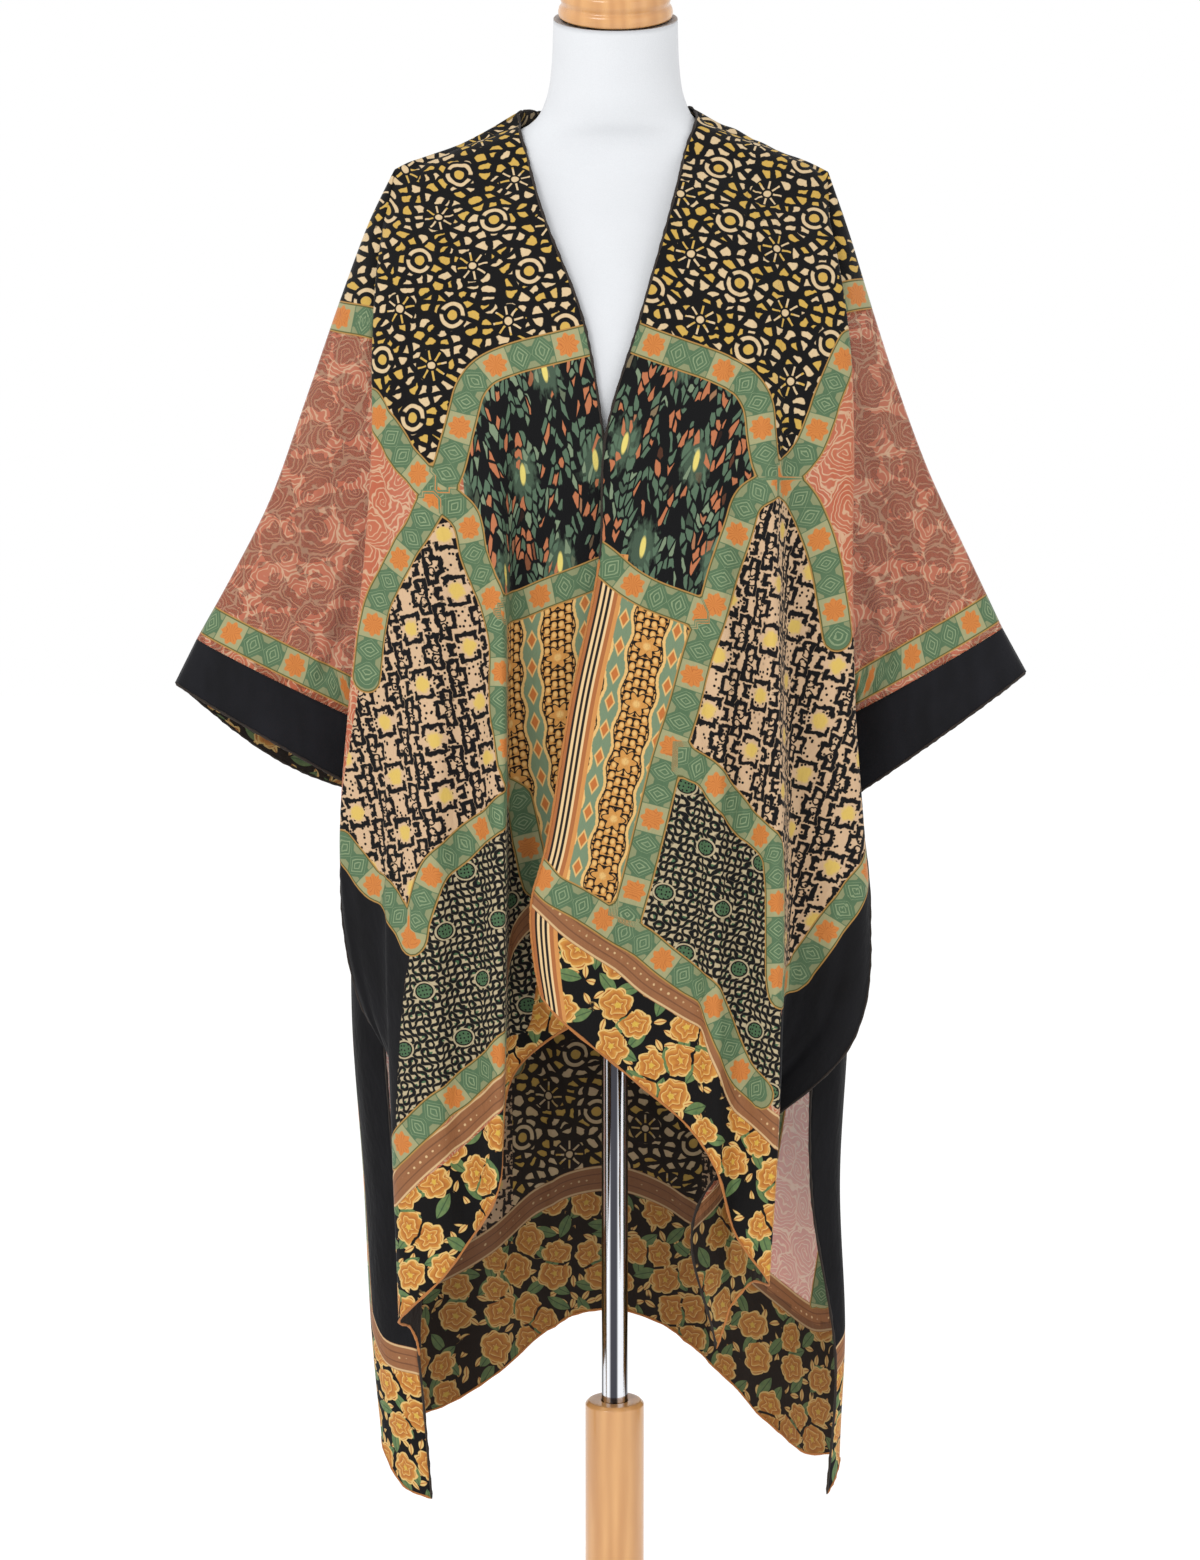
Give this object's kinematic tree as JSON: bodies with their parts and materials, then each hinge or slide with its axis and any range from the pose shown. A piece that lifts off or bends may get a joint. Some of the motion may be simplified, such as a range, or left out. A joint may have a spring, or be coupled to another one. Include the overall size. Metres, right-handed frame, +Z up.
{
  "type": "kimono coat on a limbless dress form and stand",
  "caption": "Open-front kimono coat of patterned burnt-out velvet with wide sleeves and dipping side tails, on a linen dress form with a wooden stand.",
  "frame": {"origin": "centre of the round base's underside, on the pole's axis", "axes": "+Z up along the pole, -Y towards the coat's open front, +X to the right of someone who faces it"},
  "size_m": [0.7638, 0.41, 1.6346],
  "materials": {
    "printed_velvet": "black burnt-out velvet pile with cream, gold and green print on sheer ground",
    "salmon_chiffon": "sheer chiffon with pale scroll lines",
    "black_velvet": "plain short-pile velvet",
    "linen": "white plain-woven linen cover",
    "light_wood": "satin lacquer",
    "steel": "polished"
  },
  "bodies": {
    "root": {"front_left": "printed_velvet", "front_right": "printed_velvet", "back": "printed_velvet", "sleeve_left": "salmon_chiffon", "sleeve_right": "salmon_chiffon", "cuff_left": "black_velvet", "cuff_right": "black_velvet", "torso": "linen", "neck_cap": "light_wood", "pole": "steel", "post": "light_wood", "base": "light_wood"}
  },
  "joints": []
}
